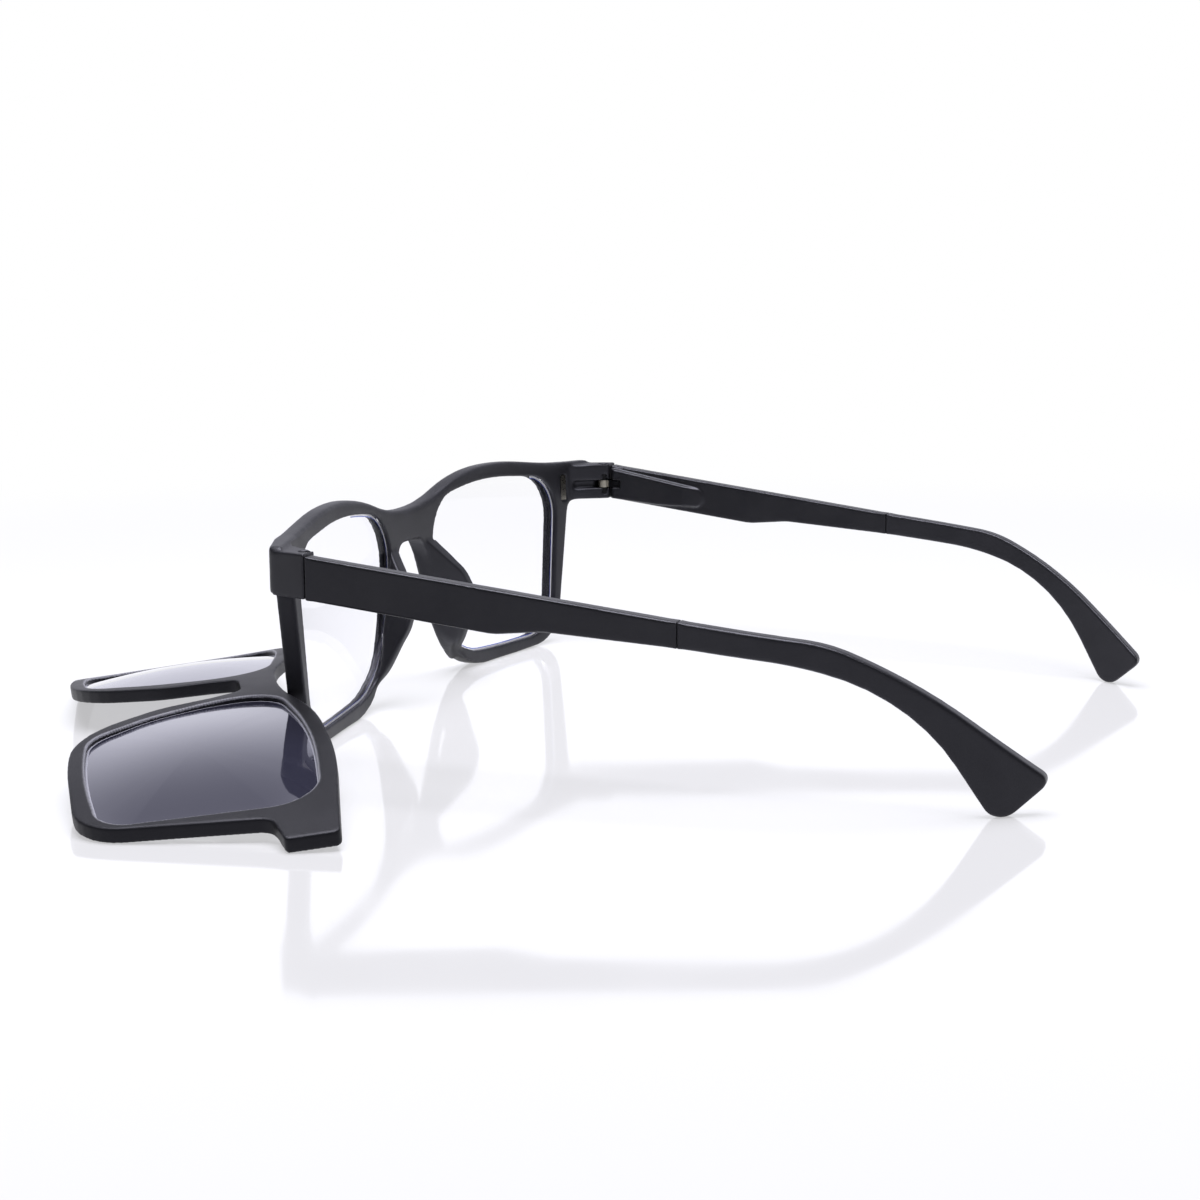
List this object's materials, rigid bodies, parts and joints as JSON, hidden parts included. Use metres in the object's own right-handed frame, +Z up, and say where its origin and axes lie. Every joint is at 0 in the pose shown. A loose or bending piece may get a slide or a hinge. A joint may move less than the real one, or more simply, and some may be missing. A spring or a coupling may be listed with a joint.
{
  "type": "reading glasses with a magnetic sun clip",
  "caption": "Full-rim plastic reading glasses, temples open, with their magnetic grey sun clip lying beside the left corner of the front.",
  "frame": {"origin": "middle of the whole set's footprint, on the table", "axes": "+Z up; the glasses look towards -Y and their temples run towards +Y; +X is the wearer's left"},
  "size_m": [0.1896, 0.1964, 0.0418],
  "materials": {
    "front_plastic": "matt",
    "temple_plastic": "matt",
    "tip_plastic": "matt",
    "clip_plastic": "matt",
    "clear_lens": "clear, polished",
    "sun_lens": "grey, lightly mirrored",
    "magnet": "nickel plated",
    "hinge_metal": "plated",
    "screw_steel": "bright",
    "spring_steel": "drawn wire",
    "stop_brass": "turned",
    "core_wire": "drawn wire"
  },
  "bodies": {
    "front": {"front_frame": "front_plastic", "reading_lens_left": "clear_lens", "reading_lens_right": "clear_lens", "front_magnet_left": "magnet", "front_magnet_right": "magnet", "hinge_front_leaf_left": "hinge_metal", "hinge_front_leaf_right": "hinge_metal", "hinge_screw_left": "screw_steel", "hinge_screw_right": "screw_steel"},
    "temple_left": {"hinge_temple_leaf_left": "hinge_metal", "hinge_spring_left": "spring_steel", "spring_stop_left": "stop_brass", "temple_arm_left": "temple_plastic", "temple_tip_left": "tip_plastic", "tip_core_left": "core_wire"},
    "temple_right": {"hinge_temple_leaf_right": "hinge_metal", "hinge_spring_right": "spring_steel", "spring_stop_right": "stop_brass", "temple_arm_right": "temple_plastic", "temple_tip_right": "tip_plastic", "tip_core_right": "core_wire"},
    "sun_clip": {"clip_frame": "clip_plastic", "sun_lens_left": "sun_lens", "sun_lens_right": "sun_lens", "clip_magnet_left": "magnet", "clip_magnet_right": "magnet"}
  },
  "joints": [
    {"name": "temple_left_fold", "type": "hinge", "parent": "front", "child": "temple_left", "pos_m": [0.04677, -0.02333, 0.034], "axis": [0, 0, 1], "range_deg": [0, 83]},
    {"name": "temple_right_fold", "type": "hinge", "parent": "front", "child": "temple_right", "pos_m": [-0.09118, -0.02333, 0.034], "axis": [0, 0, -1], "range_deg": [0, 78]},
    {"name": "clip_lift", "type": "slide", "parent": "front", "child": "sun_clip", "axis": [0.4511, -0.5514, 0.7018], "range_m": [0, 0.07]}
  ]
}
